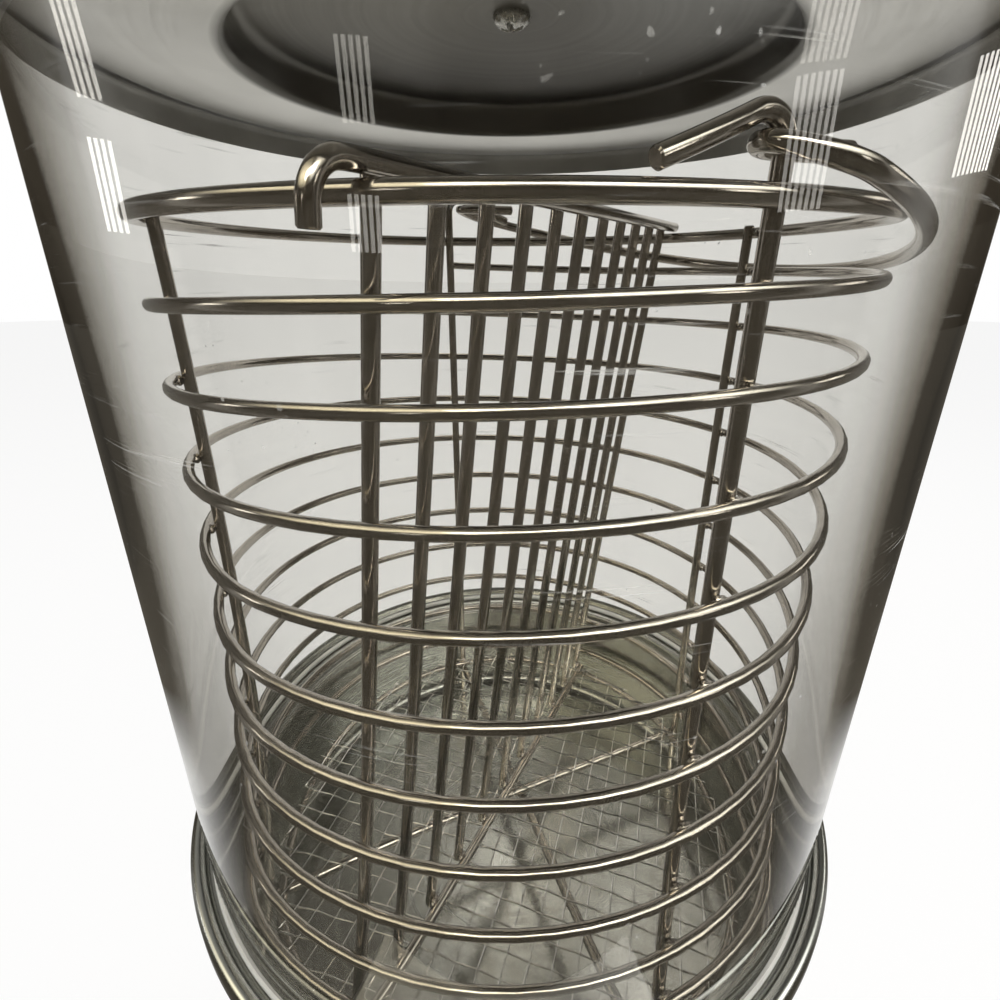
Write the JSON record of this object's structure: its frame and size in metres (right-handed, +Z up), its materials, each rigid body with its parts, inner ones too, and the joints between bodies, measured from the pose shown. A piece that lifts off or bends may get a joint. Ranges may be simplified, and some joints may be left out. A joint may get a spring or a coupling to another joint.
{
  "type": "hot dog steamer",
  "caption": "Countertop hot dog steamer: round heated base with water well, clear glass cylinder, lid, and a spiral wire basket with leaning divider and bail handle.",
  "frame": {"origin": "on the table, under the middle of the whole machine's bounding box", "axes": "+Z up along the glass cylinder's axis, -Y towards the control box at the front, +X to the right seen from the front"},
  "size_m": [0.2124, 0.2576, 0.3849],
  "materials": {
    "stainless": "satin stainless sheet",
    "bright_wire": "polished stainless wire",
    "clear_glass": "clear",
    "silicone": "matt",
    "black_plastic": "satin black",
    "black_rubber": "matt",
    "zinc": "zinc plated",
    "heater_steel": "heat darkened",
    "ceramic": "glazed ceramic",
    "brass": "plain",
    "dial_face": "fine satin",
    "red_rocker": "gloss",
    "amber_lens": "gloss"
  },
  "bodies": {
    "base": {"housing_shell": "stainless", "bottom_plate": "zinc", "foot_1": "black_rubber", "foot_2": "black_rubber", "foot_3": "black_rubber", "foot_4": "black_rubber", "foot_screw_1": "zinc", "foot_screw_2": "zinc", "foot_screw_3": "zinc", "foot_screw_4": "zinc", "well_pan": "stainless", "glass_gasket": "silicone", "control_box": "stainless", "control_fascia": "stainless", "dial_plate": "dial_face", "thermostat_body": "zinc", "thermostat_bulb": "brass", "heater_ring": "heater_steel", "heater_clamp_plate": "zinc", "heater_stud": "zinc", "thermal_cutout": "ceramic", "terminal_block": "ceramic", "switch_body": "black_plastic", "pilot_lamp_body": "black_plastic", "pilot_lamp_lens": "amber_lens", "inlet_socket": "black_plastic"},
    "glass": {"glass_cylinder": "clear_glass"},
    "lid": {"lid_shell": "stainless", "lid_knob": "black_plastic", "lid_knob_screw": "zinc"},
    "basket": {"basket_top_ring": "bright_wire", "basket_bottom_ring": "bright_wire", "basket_coil": "bright_wire", "basket_upright_front": "bright_wire", "basket_upright_right": "bright_wire", "basket_upright_back": "bright_wire", "basket_upright_left": "bright_wire", "basket_cross_rod_1": "bright_wire", "basket_cross_rod_2": "bright_wire", "basket_floor_net": "bright_wire"},
    "divider": {"divider_top_rail": "bright_wire", "divider_bottom_rail": "bright_wire", "divider_bar_01": "bright_wire", "divider_bar_02": "bright_wire", "divider_bar_03": "bright_wire", "divider_bar_04": "bright_wire", "divider_bar_05": "bright_wire", "divider_bar_06": "bright_wire", "divider_bar_07": "bright_wire", "divider_bar_08": "bright_wire", "divider_bar_09": "bright_wire", "divider_bar_10": "bright_wire", "divider_bar_11": "bright_wire"},
    "bail": {"bail_handle": "bright_wire"},
    "dial": {"thermostat_knob": "black_plastic", "thermostat_shaft": "brass"},
    "rocker": {"switch_rocker": "red_rocker"}
  },
  "joints": [
    {"name": "glass_lift", "type": "slide", "parent": "base", "child": "glass", "axis": [0, 0, 1], "range_m": [0, 0.22]},
    {"name": "lid_lift", "type": "slide", "parent": "glass", "child": "lid", "axis": [0, 0, 1], "range_m": [0, 0.4]},
    {"name": "basket_lift", "type": "slide", "parent": "base", "child": "basket", "axis": [0, 0, 1], "range_m": [0, 0.26]},
    {"name": "divider_lift", "type": "slide", "parent": "basket", "child": "divider", "axis": [0, 0, 1], "range_m": [0, 0.02]},
    {"name": "bail_swing", "type": "hinge", "parent": "basket", "child": "bail", "pos_m": [0.00644, 0.02479, 0.31875], "axis": [0.3214, -0.9466, -0.0262], "range_deg": [0, 103]},
    {"name": "thermostat_turn", "type": "hinge", "parent": "base", "child": "dial", "pos_m": [-0.02, -0.1094, 0.065], "axis": [0, 1, 0], "range_deg": [0, 270]},
    {"name": "rocker_tilt", "type": "hinge", "parent": "base", "child": "rocker", "pos_m": [0.034, -0.1094, 0.077], "axis": [-1, 0, 0], "range_deg": [0, 18]}
  ],
  "couplings": [
    {"joint": "basket_lift", "follows": "lid_lift", "ratio": 0.65},
    {"joint": "bail_swing", "follows": "lid_lift", "rad_per_m": 4.49}
  ]
}
